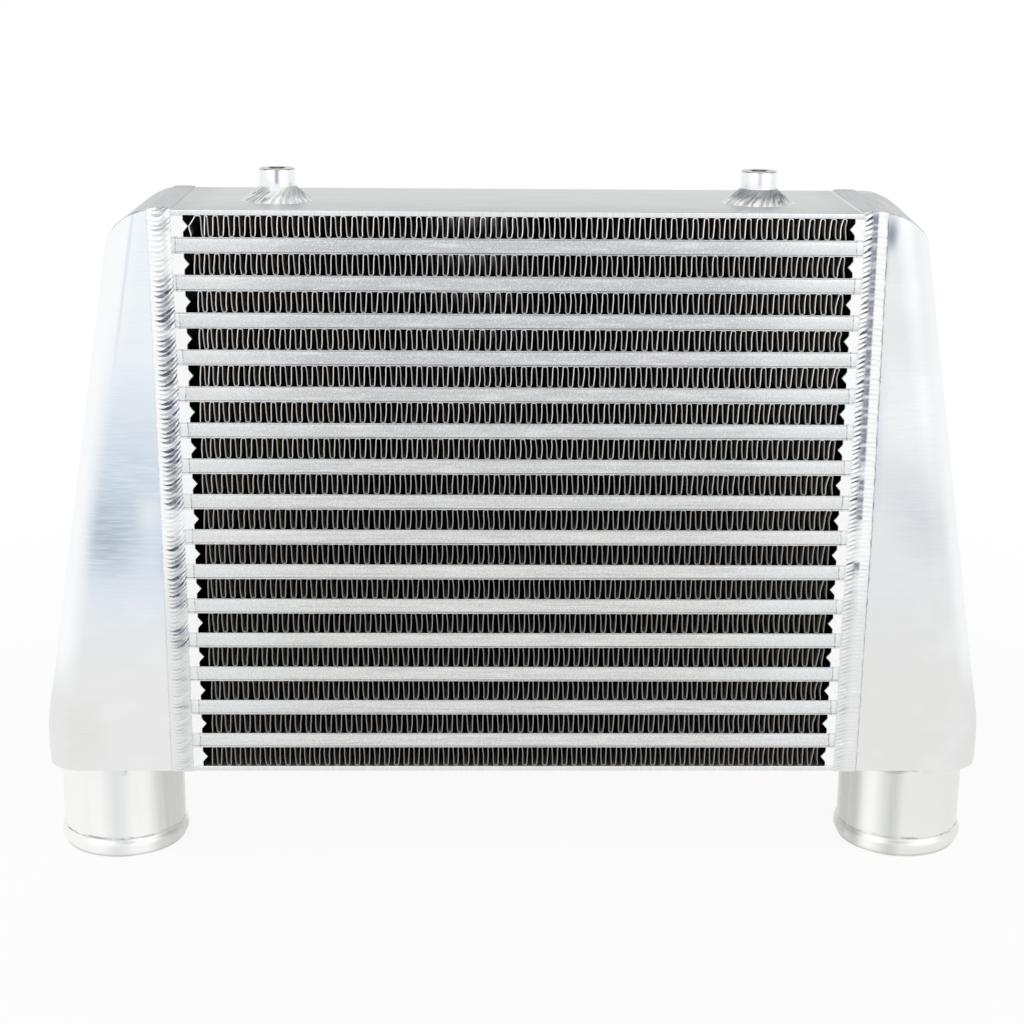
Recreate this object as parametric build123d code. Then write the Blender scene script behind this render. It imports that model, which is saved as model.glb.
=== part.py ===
from build123d import *
import math
import os

# Bar-and-plate intercooler with two end tanks, millimetres, +Z up.
# X runs from the left tank to the right tank, and Y from the front face to the
# back face.  The origin is under the middle of the part, at the height of the
# two port ends that it stands on.

# ---- Core: air rows and charge-air rows brazed between two plates -----------
core_width = 338.0            # joint plane to joint plane
core_depth = 88.9             # 3.5 in, front face to back face
air_rows = 16
air_row_height = 10.25
sheet_thickness = 0.5         # parting sheet
long_bar_height = 6.65        # closes the front or back of a charge-air row
long_bar_depth = 8.0
plate_thickness = 2.6         # top plate and bottom plate

# ---- Short bars that close the two ends of every air row --------------------
end_bar_width = 10.9          # joint plane to the flat inner face
end_bar_nose = 2.0            # how far the pointed nose stands proud of it
end_bar_nose_height = 4.2

# ---- Corrugated fins --------------------------------------------------------
fin_waves = 20
fin_gauge = 0.4
fin_recess = 0.8              # behind the front and back faces of the bars
fin_end_gap = 0.4             # between the last bend and the nose of the bar
turbulator_waves = 3
turbulator_gauge = 0.5
turbulator_recess = 2.0       # behind the joint plane

# ---- End tanks: folded wall, curved cap, flat floor -------------------------
tank_wall = 3.0
tank_half_span = 238.6        # middle of the part to the outer wall, at the floor
tank_shoulder = 201.3         # the same, where the shoulder level is
tank_shoulder_level = 245.2   # above the tank's floor
tank_skirt = 22.0             # height of the upright wall over the floor
tank_bend_radius = 19.0       # upright outer edges, front and back
arch_centre_out = 1.0         # axis of the curved cap, outboard of the joint
arch_centre_down = 28.8       # and below the core's top
right_cap_skew = 3.9          # degrees: this cap stands wider at the back

# ---- Hose ports: 2.5 in pipe with a rolled bead at its end ------------------
port_offset = 206.8           # middle of the part to the pipe's axis
port_length = 54.8
port_radius = 31.75
port_bore_radius = 29.75
port_hole_radius = 28.5       # in the tank's floor, a step inside the bore
bead_radius = 33.4
bead_level = 6.6              # crest of the bead above the pipe's end
bead_start = 10.0
lip_level = 2.6
lip_radius = 32.2
lip_end_radius = 30.3

# ---- Mounting bungs with a blind tapped hole for an M8 screw ----------------
bung_offset = 117.3
bung_forward = 5.0            # in front of the middle of the core's depth
bung_radius = 8.75
bung_height = 15.4
bung_hole_radius = 3.4
bung_hole_depth = 12.0

# ---- Weld beads -------------------------------------------------------------
seam_width = 10.8
seam_height = 2.2
seam_ground_height = 0.4      # what a disc leaves of the bead above and below
bung_weld_radius = 17.5
bung_weld_height = 7.0
port_weld_leg = 2.4

# ---- Levels and spans worked out from the sizes above -----------------------
tube_rows = air_rows - 1
tube_height = long_bar_height + 2 * sheet_thickness
row_pitch = air_row_height + tube_height
core_height = 2 * plate_thickness + air_rows * air_row_height + tube_rows * tube_height
core_floor = port_length
core_top = core_floor + core_height
joint = core_width / 2
half_depth = core_depth / 2
first_row_floor = core_top - plate_thickness - air_row_height

os.makedirs("parts", exist_ok=True)


def block(width, depth, height, x, y, floor):
    """A box centred on x and y that stands on the level called floor."""
    return Pos(x, y, floor + height / 2) * Box(width, depth, height)


def corrugation(waves, run, height, gauge):
    """Outline of a zigzag sheet, centred on its run, from 0 up to its height.

    Both edges of the sheet follow the same zigzag, one above the other, so the
    crests touch the sheets over and under it and the walls keep one gauge.
    """
    step = run / (2 * waves)
    wall_run = math.hypot(step, height)
    rise = gauge * wall_run / step
    across = [-run / 2 + step * number for number in range(2 * waves + 1)]
    levels = [(height - rise) * (number % 2) for number in range(2 * waves + 1)]
    lower = list(zip(across, levels))
    upper = [(place, level + rise) for place, level in lower]
    return lower + upper[::-1]


def air_fin(floor):
    """One corrugated fin: its passages run from the front face to the back."""
    run = core_width - 2 * (end_bar_width + end_bar_nose + fin_end_gap)
    length = core_depth - 2 * fin_recess
    outline = corrugation(fin_waves, run, air_row_height, fin_gauge)
    sheet = Plane.XZ * make_face(Polyline(*outline, close=True))
    return Pos(0, length / 2, floor) * extrude(sheet, length)


def turbulator(floor):
    """The inner fin of a charge-air row: its passages run from tank to tank."""
    run = core_depth - 2 * long_bar_depth
    length = core_width - 2 * turbulator_recess
    outline = corrugation(turbulator_waves, run, long_bar_height, turbulator_gauge)
    sheet = Plane.YZ * make_face(Polyline(*outline, close=True))
    return Pos(-length / 2, 0, floor) * extrude(sheet, length)


def charge_tube(floor):
    """Two parting sheets with a long bar between them at the front and back."""
    bar_place = half_depth - long_bar_depth / 2
    bar_floor = floor + sheet_thickness
    return Compound([
        block(core_width, core_depth, sheet_thickness, 0, 0, floor),
        block(core_width, long_bar_depth, long_bar_height, 0, -bar_place, bar_floor),
        block(core_width, long_bar_depth, long_bar_height, 0, bar_place, bar_floor),
        block(core_width, core_depth, sheet_thickness, 0, 0, bar_floor + long_bar_height),
    ])


def end_bar(side, floor):
    """A short bar with a pointed nose that faces the fin, as deep as the core."""
    face = joint - end_bar_width
    tip = face - end_bar_nose
    middle = air_row_height / 2
    outline = [
        (side * joint, 0),
        (side * face, 0),
        (side * face, middle - end_bar_nose_height / 2),
        (side * tip, middle),
        (side * face, middle + end_bar_nose_height / 2),
        (side * face, air_row_height),
        (side * joint, air_row_height),
    ]
    profile = Plane.XZ * make_face(Polyline(*outline, close=True))
    return Pos(0, half_depth, floor) * extrude(profile, core_depth)


# The outer wall of a tank is one straight slope above its upright skirt.
wall_run = tank_half_span - tank_shoulder
wall_rise = tank_shoulder_level - tank_skirt
wall_length = math.hypot(wall_run, wall_rise)
arch_axis = (joint + arch_centre_out, core_top - arch_centre_down)
above_skirt = arch_axis[1] - core_floor - tank_skirt
wall_at_axis = tank_half_span - above_skirt * wall_run / wall_rise
arch_radius = (wall_at_axis - arch_axis[0]) * wall_rise / wall_length


def tank_sleeve(inset):
    """The folded wall of a right tank, left tall, and moved in by the inset.

    The side view is drawn first and made as deep as the core, and then its two
    upright outer edges are bent round, front and back.
    """
    floor = core_floor + inset
    skirt = core_floor + tank_skirt
    top = core_top + arch_centre_down
    outer = tank_half_span - inset
    shift = inset * wall_length / wall_rise
    top_outer = tank_half_span - (top - skirt) * wall_run / wall_rise - shift
    inner = joint - inset
    outline = [(inner, floor), (outer, floor), (outer, skirt), (top_outer, top), (inner, top)]
    side_view = Plane.XZ * make_face(Polyline(*outline, close=True))
    depth = core_depth - 2 * inset
    slab = Pos(0, depth / 2, 0) * extrude(side_view, depth)
    wall_edges = [
        edge for edge in slab.edges()
        if abs(abs(edge.center().Y) - depth / 2) < 0.01
        and edge.center().X > top_outer - 1
        and abs(edge.tangent_at(0.5).Z) > 0.5
    ]
    return fillet(wall_edges, tank_bend_radius - inset)


def tank_cap(inset, skew):
    """The space under the curved cap of a right tank, moved in by the inset."""
    radius = arch_radius - inset
    top = core_top - inset
    land = arch_axis[0] + math.sqrt(radius ** 2 - (top - arch_axis[1]) ** 2)
    lean = math.atan2(wall_run, wall_rise)
    start_angle = math.atan2(top - arch_axis[1], land - arch_axis[0])
    middle_angle = (start_angle + lean) / 2
    middle = polar_point(arch_axis, radius, middle_angle)
    finish = polar_point(arch_axis, radius, lean)
    inner = joint - core_depth / 4
    outer = tank_half_span + core_depth / 4
    base = core_floor - inset
    edges = [
        Polyline((outer, finish[1]), (outer, base), (inner, base), (inner, top), (land, top)),
        ThreePointArc((land, top), middle, finish),
        Line(finish, (outer, finish[1])),
    ]
    side_view = Plane.XZ * make_face(edges)
    space = Pos(0, core_depth, 0) * extrude(side_view, 2 * core_depth)
    hinge = Axis((joint, -half_depth, 0), (0, 0, 1))
    return space.rotate(hinge, -skew)


def polar_point(centre, radius, angle):
    """The point at this radius and angle, in radians, about the centre."""
    return (centre[0] + radius * math.cos(angle), centre[1] + radius * math.sin(angle))


def end_tank(skew):
    """A hollow right tank, open to the core, with the port's hole in its floor."""
    shell = tank_sleeve(0) & tank_cap(0, skew)
    chamber = tank_sleeve(tank_wall) & tank_cap(tank_wall, skew)
    hole = Pos(port_offset, 0, core_floor) * Cylinder(port_hole_radius, 3 * tank_wall)
    return shell - chamber - hole


def hose_port(side):
    """A pipe turned in one profile: bore, wall, rolled bead and rounded end."""
    outline = [
        (port_bore_radius, 0),
        (lip_end_radius, 0),
        (lip_radius, lip_level),
        (bead_radius, bead_level),
        (port_radius, bead_start),
        (port_radius, port_length),
        (port_bore_radius, port_length),
    ]
    profile = Plane.XZ * make_face(Polyline(*outline, close=True))
    return Pos(side * port_offset, 0, 0) * revolve(profile, Axis.Z)


def mounting_bung(side):
    """A turned boss that stands on the top plate, with its tapped hole."""
    place = Pos(side * bung_offset, -bung_forward, core_top)
    upright = (Align.CENTER, Align.CENTER, Align.MIN)
    hanging = (Align.CENTER, Align.CENTER, Align.MAX)
    boss = Cylinder(bung_radius, bung_height, align=upright)
    hole = Pos(0, 0, bung_height) * Cylinder(bung_hole_radius, bung_hole_depth, align=hanging)
    return place * (boss - hole)


def bung_weld(side):
    """A wide fillet of weld round the foot of a bung."""
    outline = [(bung_radius, 0), (bung_weld_radius, 0), (bung_radius, bung_weld_height)]
    profile = Plane.XZ * make_face(Polyline(*outline, close=True))
    return Pos(side * bung_offset, -bung_forward, core_top) * revolve(profile, Axis.Z)


def port_weld(side):
    """A fillet of weld between the pipe and the tank's floor.

    It stops flush with the tank's outer wall, which stands close to the pipe.
    """
    outline = [
        (port_radius, core_floor),
        (port_radius + port_weld_leg, core_floor),
        (port_radius, core_floor - port_weld_leg),
    ]
    profile = Plane.XZ * make_face(Polyline(*outline, close=True))
    ring = Pos(side * port_offset, 0, 0) * revolve(profile, Axis.Z)
    under_tank = block(2 * tank_half_span, core_depth, core_floor, 0, 0, 0)
    return ring & under_tank


def seam_runs():
    """Four spaces round the core, front, back, top and bottom, that meet in mitres.

    Each is a trapezium in the end view, and holds the weld run of its own side.
    """
    reach = 4 * seam_height
    spaces = []
    for way in (-1, 1):
        face = way * half_depth
        far = face + way * reach
        spaces.append([(face, core_floor), (far, core_floor - reach),
                       (far, core_top + reach), (face, core_top)])
    for level, way in ((core_floor, -1), (core_top, 1)):
        far = level + way * reach
        spaces.append([(-half_depth, level), (-half_depth - reach, far),
                       (half_depth + reach, far), (half_depth, level)])
    return spaces


def seam_weld(side):
    """The bead over the joint of core and tank: one run of weld on each side.

    Rectangles that grow to the bead's height and shrink back are lofted from
    one toe to the other, which makes the bead wrap the core's corners. The runs
    above and below the core are then ground down nearly flush.
    """
    steps = 6
    frames = []
    for number in range(steps + 1):
        share = 2 * number / steps - 1
        proud = seam_height * (1 - share ** 2)
        across = side * joint + share * seam_width / 2
        frame = Rectangle(core_depth + 2 * proud, core_height + 2 * proud)
        frames.append(Plane.YZ.offset(across) * frame)
    laid = Pos(0, 0, core_floor + core_height / 2) * loft(frames, ruled=True)
    ground_low = core_floor - seam_ground_height
    ground_span = core_height + 2 * seam_ground_height
    ground = block(2 * core_width, 2 * core_depth, ground_span, 0, 0, ground_low)
    wrapped = laid & ground
    port_space = Pos(side * port_offset, 0, core_floor) * Cylinder(
        port_radius + port_weld_leg, 4 * seam_height
    )
    runs = []
    for outline in seam_runs():
        space = extrude(Plane.YZ * make_face(Polyline(*outline, close=True)), core_width, both=True)
        runs.append((wrapped & space) - port_space)
    return Compound(runs)


def save(name, shape):
    """Write one node of the assembly to its own file."""
    export_step(shape, f"parts/{name}.step")


# Core, from the top down: an air row, then a charge-air row, and so on.
for row in range(air_rows):
    floor = first_row_floor - row * row_pitch
    save(f"air_fin_{row + 1:02d}", air_fin(floor))
for row in range(tube_rows):
    floor = first_row_floor - tube_height - row * row_pitch
    save(f"charge_tube_{row + 1:02d}", charge_tube(floor))
    save(f"turbulator_{row + 1:02d}", turbulator(floor + sheet_thickness))
for name, side in (("left", -1), ("right", 1)):
    floors = [first_row_floor - row * row_pitch for row in range(air_rows)]
    save(f"{name}_end_bars", Compound([end_bar(side, floor) for floor in floors]))
save("top_plate", block(core_width, core_depth, plate_thickness, 0, 0, core_top - plate_thickness))
save("bottom_plate", block(core_width, core_depth, plate_thickness, 0, 0, core_floor))

# Tanks, ports and the beads that join them to the core.
save("left_tank", mirror(end_tank(0), Plane.YZ))
save("right_tank", end_tank(right_cap_skew))
for name, side in (("left", -1), ("right", 1)):
    save(f"{name}_port", hose_port(side))
    save(f"{name}_seam_weld", seam_weld(side))
save("port_welds", Compound([port_weld(-1), port_weld(1)]))

# Bungs on the top plate.
save("mounting_bungs", Compound([mounting_bung(-1), mounting_bung(1)]))
save("bung_welds", Compound([bung_weld(-1), bung_weld(1)]))
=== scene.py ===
import math

import bmesh
import bpy
import numpy as np
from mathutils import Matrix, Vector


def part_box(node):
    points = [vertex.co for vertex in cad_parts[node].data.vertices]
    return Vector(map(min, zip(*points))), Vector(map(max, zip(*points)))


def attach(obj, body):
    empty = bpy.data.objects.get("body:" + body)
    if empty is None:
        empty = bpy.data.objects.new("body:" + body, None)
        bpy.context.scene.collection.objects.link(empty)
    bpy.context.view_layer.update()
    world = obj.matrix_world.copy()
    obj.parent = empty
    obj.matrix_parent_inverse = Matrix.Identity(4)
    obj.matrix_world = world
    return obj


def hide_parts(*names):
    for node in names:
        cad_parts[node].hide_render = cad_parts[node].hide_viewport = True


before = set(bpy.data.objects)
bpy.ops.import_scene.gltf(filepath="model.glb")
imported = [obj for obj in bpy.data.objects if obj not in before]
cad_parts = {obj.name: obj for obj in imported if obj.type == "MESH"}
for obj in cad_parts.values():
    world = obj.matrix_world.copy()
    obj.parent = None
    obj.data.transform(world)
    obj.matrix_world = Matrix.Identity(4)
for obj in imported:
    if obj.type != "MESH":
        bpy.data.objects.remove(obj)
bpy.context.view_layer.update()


# ---- Top and bottom plates --------------------------------------------------
# Two sheared aluminium plates close the brazed core above and below. They are
# left in their rolled finish, and a disc has cleaned their ends for the welds.

MM = 0.001


def span(node):
    """Lowest and highest corner of a CAD node, in millimetres."""
    low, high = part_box(node)
    return np.array(low) / MM, np.array(high) / MM


plate_high = span("top_plate")[1]
joint = plate_high[0]
half_depth = plate_high[1]
core_top = plate_high[2]
core_floor = span("bottom_plate")[0][2]
core_depth = 2 * half_depth
plate_edge_radius = 0.35
weld_edge = 161.5
scoured_zone = (146.0, 160.0)


def tone(shade):
    """A colour given as 0 to 255 display values, in the linear form of a shader socket."""
    shares = np.array(shade) / 255
    linear = np.where(shares <= 0.04045, shares / 12.92, ((shares + 0.055) / 1.055) ** 2.4)
    return (*[float(value) for value in linear], 1.0)


def wire(tree, kind, sockets=None, **settings):
    """A shader node with its settings, and its inputs as values or as links."""
    made = tree.nodes.new("ShaderNode" + kind)
    for key, value in settings.items():
        setattr(made, key, value)
    for key, value in (sockets or {}).items():
        if isinstance(value, bpy.types.NodeSocket):
            tree.links.new(value, made.inputs[key])
        else:
            made.inputs[key].default_value = value
    return made


def sum_of(tree, operation, first, second=0.0):
    """A node that works out one sum of two sockets or numbers."""
    return wire(tree, "Math", {0: first, 1: second}, operation=operation).outputs[0]


def soft_step(tree, value, start, end, low, high):
    """A node that runs softly from low where value is at start to high where it is at end."""
    sockets = {"Value": value, "From Min": start, "From Max": end, "To Min": low, "To Max": high}
    return wire(tree, "MapRange", sockets, interpolation_type="SMOOTHSTEP").outputs[0]


class Finish:
    """A bare metal surface: one base tone, and thinner tones laid over it through masks."""

    def __init__(self, name, shade, roughness, metallic=1.0):
        self.material = bpy.data.materials.new(name)
        self.material.use_nodes = True
        self.tree = self.material.node_tree
        self.shader = self.tree.nodes["Principled BSDF"]
        self.colour = tone(shade)
        self.shader.inputs["Base Color"].default_value = self.colour
        self.shader.inputs["Roughness"].default_value = roughness
        self.shader.inputs["Metallic"].default_value = metallic
        self.spot = self.add("TexCoord").outputs["Object"]
        split = self.add("SeparateXYZ", {0: self.spot})
        self.x, self.y, self.z = [self.both(split.outputs[axis], 1 / MM) for axis in "XYZ"]

    def add(self, kind, sockets=None, **settings):
        """One more node of this finish."""
        return wire(self.tree, kind, sockets, **settings)

    def maths(self, operation, first, second=0.0):
        """One sum of two sockets or numbers."""
        return sum_of(self.tree, operation, first, second)

    def both(self, first, second):
        """The product of two masks, which is strong only where both are."""
        return self.maths("MULTIPLY", first, second)

    def off(self, value):
        """How far a value is from nought, to either side."""
        return self.maths("ABSOLUTE", value)

    def band(self, value, start, end, low=0.0, high=1.0):
        """Runs softly from low where value is at start to high where it is at end."""
        return soft_step(self.tree, value, start, end, low, high)

    def near(self, value, centre, reach):
        """One where value is at the centre, and none further off than the reach."""
        return self.band(self.off(self.maths("SUBTRACT", value, centre)), reach, 0.0)

    def grain(self, size, detail=3.0, seed=0.0):
        """Noise from 0 to 1 with cells of this size, in millimetres along X, Y and Z."""
        scale = [1 / (MM * length) for length in size]
        moved = self.add("Mapping", {"Vector": self.spot, "Scale": scale, "Location": (seed,) * 3})
        return self.add("TexNoise", {"Vector": moved.outputs[0], "Scale": 1.0, "Detail": detail,
                                     "Roughness": 0.6}).outputs[0]

    def mark(self, name):
        """A value that the mesh carries at its points."""
        return self.add("Attribute", attribute_name=name).outputs["Fac"]

    def paint(self, shade, *masks):
        """Lays a tone over what is there, as strongly as all the masks together say."""
        mask = masks[0]
        for more in masks[1:]:
            mask = self.both(mask, more)
        mix = self.add("Mix", {0: mask, 6: self.colour, 7: tone(shade)}, data_type="RGBA")
        self.colour = mix.outputs[2]
        self.tree.links.new(self.colour, self.shader.inputs["Base Color"])

    def gloss(self, mask, smooth, rough):
        """Roughness that follows the mask, from smooth at 0.2 to rough at 0.8."""
        roughness = self.band(mask, 0.2, 0.8, smooth, rough)
        self.tree.links.new(roughness, self.shader.inputs["Roughness"])

    def relief(self, height, depth):
        """Bump from a height of 0 to 1, as deep as that, in millimetres."""
        before = self.shader.inputs["Normal"].links
        sockets = {"Height": height, "Strength": 1.0, "Distance": depth * MM}
        if before:
            sockets["Normal"] = before[0].from_socket
        bump = self.add("Bump", sockets)
        self.tree.links.new(bump.outputs[0], self.shader.inputs["Normal"])


def build_piece(name, patches, finish, stands_for, crease=32.0, marks=None):
    """One mesh from patches of points, stitched where their edges meet.

    A patch is rows by columns by 3, in millimetres, with the ways that it wraps: "r"
    joins its last row to its first, and "c" its last column. Each cell is one face.
    """
    quads = []
    start = 0
    for points, wraps in patches:
        rows, columns = points.shape[:2]
        numbers = start + np.arange(rows * columns).reshape(rows, columns)
        start += rows * columns
        if "r" in wraps:
            numbers = np.vstack([numbers, numbers[:1]])
        if "c" in wraps:
            numbers = np.hstack([numbers, numbers[:, :1]])
        corners = [numbers[:-1, :-1], numbers[1:, :-1], numbers[1:, 1:], numbers[:-1, 1:]]
        quads.append(np.stack(corners, axis=-1).reshape(-1, 4))
    quads = np.vstack(quads)
    points = np.vstack([points.reshape(-1, 3) for points, wraps in patches]) * MM
    mesh = bpy.data.meshes.new(name)
    mesh.vertices.add(len(points))
    mesh.vertices.foreach_set("co", points.ravel())
    mesh.loops.add(quads.size)
    mesh.loops.foreach_set("vertex_index", quads.ravel())
    mesh.polygons.add(len(quads))
    mesh.polygons.foreach_set("loop_start", np.arange(0, quads.size, 4))
    mesh.update(calc_edges=True)
    for mark, values in (marks or {}).items():
        layer = mesh.attributes.new(mark, "FLOAT", "POINT")
        layer.data.foreach_set("value", np.ascontiguousarray(values, dtype=np.float32).ravel())
    stitched = bmesh.new()
    stitched.from_mesh(mesh)
    bmesh.ops.remove_doubles(stitched, verts=stitched.verts, dist=0.002 * MM)
    bmesh.ops.recalc_face_normals(stitched, faces=stitched.faces)
    stitched.to_mesh(mesh)
    stitched.free()
    mesh.shade_smooth()
    mesh.set_sharp_from_angle(angle=math.radians(crease))
    mesh.materials.append(finish.material)
    piece = bpy.data.objects.new(name, mesh)
    bpy.context.scene.collection.objects.link(piece)
    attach(piece, "root")
    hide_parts(*stands_for)


def rounded_bar(low, high, radius):
    """A bar along X whose edges are all rounded to one radius.

    Its section is a rectangle with quarter-circle corners. It shrinks along a quarter
    circle at both ends, and then to the middle of the end face.
    """
    middle = (low[1:] + high[1:]) / 2
    core = (high[1:] - low[1:]) / 2 - radius
    turns = np.radians(np.linspace(0, 90, 4))
    angles = np.concatenate([turns + quarter * math.pi / 2 for quarter in range(4)])
    signs = np.repeat([[1, 1], [-1, 1], [-1, -1], [1, -1]], len(turns), axis=0)
    ways = np.stack([np.cos(angles), np.sin(angles)], axis=-1)
    rows = [np.column_stack([np.zeros(len(ways)), np.tile(middle, (len(ways), 1))])]
    for turn in np.radians([90, 45, 0]):
        ring = middle + signs * core + ways * radius * math.cos(turn)
        rows.append(np.column_stack([np.full(len(ring), radius * (1 - math.sin(turn))), ring]))
    first = np.array(rows)
    last = first[::-1].copy()
    first[:, :, 0] = low[0] + first[:, :, 0]
    last[:, :, 0] = high[0] - last[:, :, 0]
    return np.concatenate([first, last]), "c"


rolled = Finish("rolled_plate", (230, 231, 230), 0.42)
lengthwise = rolled.grain((60, 0.5, 0.5), detail=4.0)
rolled.paint((213, 215, 216), rolled.band(lengthwise, 0.35, 0.7))
rolled.paint((230, 232, 233), rolled.band(rolled.grain((22, 14, 14)), 0.45, 0.75, 0.0, 0.55))
off_middle = rolled.off(rolled.x)
end_zone = rolled.band(off_middle, *scoured_zone)
sweep = rolled.grain((0.7, 18, 18), detail=4.0, seed=3.0)
rolled.paint((202, 205, 207), end_zone, rolled.band(sweep, 0.3, 0.7, 0.2, 0.8))
rolled.paint((226, 221, 210), rolled.near(off_middle, weld_edge, 2.0), 0.2)
rolled.paint((243, 246, 247), rolled.near(rolled.x, weld_edge + 0.1, 1.5),
             rolled.band(sweep, 0.3, 0.6, 0.4, 1.0))
off_centre = rolled.off(rolled.y)
front_edge = rolled.band(off_centre, half_depth - 0.5, half_depth - 0.1)
rolled.paint((222, 225, 226), front_edge)
rolled.paint((238, 240, 241), front_edge, rolled.band(sweep, 0.4, 0.7, 0.0, 0.6))
# Painted shade on the plates where they face into the rows, back from the front and back faces.
row_side = rolled.near(rolled.z, (core_top + core_floor) / 2, (core_top - core_floor) / 2 - 1.2)
rolled.paint((12, 11, 9), row_side, rolled.band(off_centre, half_depth - 0.55, half_depth - 1.15))
rolled.gloss(lengthwise, 0.34, 0.5)
rolled.relief(lengthwise, 0.02)

for place in ("top", "bottom"):
    low, high = span(f"{place}_plate")
    plate = rounded_bar(low, high, plate_edge_radius)
    build_piece(f"core_{place}_plate", [plate], rolled, [f"{place}_plate"])


# ---- Charge-air rows --------------------------------------------------------
# Each row is two thin parting sheets with a long extruded bar between them at the
# front and the back, brazed together. The sheets' sheared edges stand a hair proud.

sheet_thickness = 0.5
bar_depth = 8.0
bar_setback = 0.28
sheet_edge_radius = 0.14
bar_edge_radius = 0.45
left_end_mark = 159.3
right_end_mark = 159.6
top_left_end_mark = 162.2

extruded = Finish("extruded_bar", (217, 217, 215), 0.45)
extruded.paint((194, 197, 199), extruded.band(extruded.z, 165.0, 300.0))
drawn = extruded.grain((45, 0.5, 0.45), detail=5.0)
extruded.paint((186, 189, 191), extruded.band(drawn, 0.4, 0.68, 0.0, 0.8))
extruded.paint((223, 225, 225),
               extruded.band(extruded.grain((22, 5, 2.6), seed=5.0), 0.45, 0.75, 0.0, 0.8))
toward_end = extruded.off(extruded.x)
extruded.paint((226, 229, 229), extruded.band(toward_end, 90.0, 150.0, 0.0, 0.75))
speck = extruded.grain((0.8, 0.8, 0.7), detail=2.0, seed=8.0)
extruded.paint((240, 241, 240), extruded.band(speck, 0.5, 0.68, 0.0, 0.6))
extruded.paint((184, 185, 184), extruded.band(speck, 0.45, 0.28, 0.0, 0.5))
wander = extruded.band(extruded.grain((400, 400, 7), seed=2.0), 0.3, 0.7, -0.35, 0.35)
left_mark = extruded.band(extruded.z, 230.0, 315.0, left_end_mark, top_left_end_mark)
end_mark = extruded.band(extruded.x, -1.0, 1.0, left_mark, right_end_mark)
past_mark = extruded.maths("ADD", extruded.maths("SUBTRACT", toward_end, end_mark), wander)
extruded.paint((232, 234, 234), extruded.band(past_mark, 0.0, 0.6))
# Painted shadow: a soft dark line where the bars end short of the welds, broken up by noise.
patchy_shadow = extruded.band(extruded.grain((3, 3, 1.4), seed=15.0), 0.4, 0.6, 0.2, 0.9)
extruded.paint((150, 152, 152), extruded.near(past_mark, 0.0, 0.5), patchy_shadow)
# Painted shade: the bars go near black back from their front and back faces, inside the rows.
inward = extruded.band(extruded.off(extruded.y), half_depth - 0.5, half_depth - 0.95)
extruded.paint((10, 9, 8), inward)
extruded.gloss(drawn, 0.36, 0.52)
extruded.relief(drawn, 0.03)

row_names = [name for name in sorted(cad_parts) if name.startswith("charge_tube_")]
for name in row_names:
    low, high = span(name)
    patches = []
    for floor in (low[2], high[2] - sheet_thickness):
        sheet = np.array([[low[0], low[1], floor], [high[0], high[1], floor + sheet_thickness]])
        patches.append(rounded_bar(*sheet, sheet_edge_radius))
    for face in (low[1] + bar_setback, high[1] - bar_setback - bar_depth):
        bar = np.array([[low[0], face, low[2] + sheet_thickness],
                        [high[0], face + bar_depth, high[2] - sheet_thickness]])
        patches.append(rounded_bar(*bar, bar_edge_radius))
    build_piece("row_" + name[-2:] + "_bars", patches, extruded, [name])


# ---- Turbulators ------------------------------------------------------------
# The inner fins of the charge-air rows are closed in by bars and sheets. They keep the
# solids' own meshes, with the dull finish that furnace brazing leaves.

brazed = Finish("brazed_fin", (168, 168, 166), 0.5)
flux = brazed.grain((6, 6, 3), detail=4.0)
brazed.paint((142, 140, 136), brazed.band(flux, 0.4, 0.7))
brazed.relief(flux, 0.05)
for name in sorted(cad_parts):
    if name.startswith("turbulator_"):
        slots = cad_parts[name].data.materials
        slots.clear()
        slots.append(brazed.material)


# ---- Short bars -------------------------------------------------------------
# A short nosed bar closes each end of every air row. Its nose has hollow flanks, so
# the end reads as a pointed star, and its face is dressed bright beside the weld.

nose_base = 5.6
nose_reach = 2.0
nose_point = 0.35
nose_hollow = 1.1
bar_middle = joint - 5.0
face_chamfer = 0.25

dressed = Finish("dressed_bar", (246, 248, 247), 0.4)
smear = dressed.grain((2.5, 2.5, 1.1), detail=4.0, seed=4.0)
dressed.paint((234, 237, 238), dressed.band(smear, 0.45, 0.75, 0.0, 0.6))
dressed.paint((250, 252, 252), dressed.band(dressed.grain((7, 7, 4), seed=6.0), 0.5, 0.8, 0.0, 0.5))
# Painted shade: the short bars go dark back from their front and back faces, inside the rows.
off_centre = dressed.off(dressed.y)
dressed.paint((20, 19, 17), dressed.band(off_centre, half_depth - 0.75, half_depth - 1.45))
dressed.gloss(smear, 0.3, 0.5)
dressed.relief(smear, 0.05)


def nosed_outline(inner, tip, height):
    """Outline of a short bar in the XZ plane, from the joint round its hollow-flanked nose.

    Along a flank the nose narrows evenly, while the way out from the flat face grows
    with a power of it just over 1, which hollows the flank a little.
    """
    way = np.linspace(0, 1, 7)
    upper = np.column_stack([inner + (tip - inner) * way ** nose_hollow,
                             height / 2 + nose_base / 2 * (1 - way)])
    lower = np.column_stack([upper[::-1, 0], height - upper[::-1, 1]])[1:]
    start = [[joint, height], [inner, height]]
    finish = [[inner, 0.0], [joint, 0.0]]
    return np.vstack([start, upper, lower, finish])


def prism(outline, near, far, chamfer):
    """The outline carried along Y, with a small chamfer at both ends and flat end faces."""
    middle = np.array([bar_middle, (outline[:, 1].min() + outline[:, 1].max()) / 2])
    spread = np.abs(outline - middle).max(axis=0)
    small = middle + (outline - middle) * (1 - chamfer / spread)
    centre = np.tile(middle, (len(outline), 1))
    rings = [(centre, near), (small, near), (outline, near + chamfer)]
    rings += [(outline, far - chamfer), (small, far), (centre, far)]
    return np.array([np.column_stack([ring[:, 0], np.full(len(ring), place), ring[:, 1]])
                     for ring, place in rings])


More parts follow.
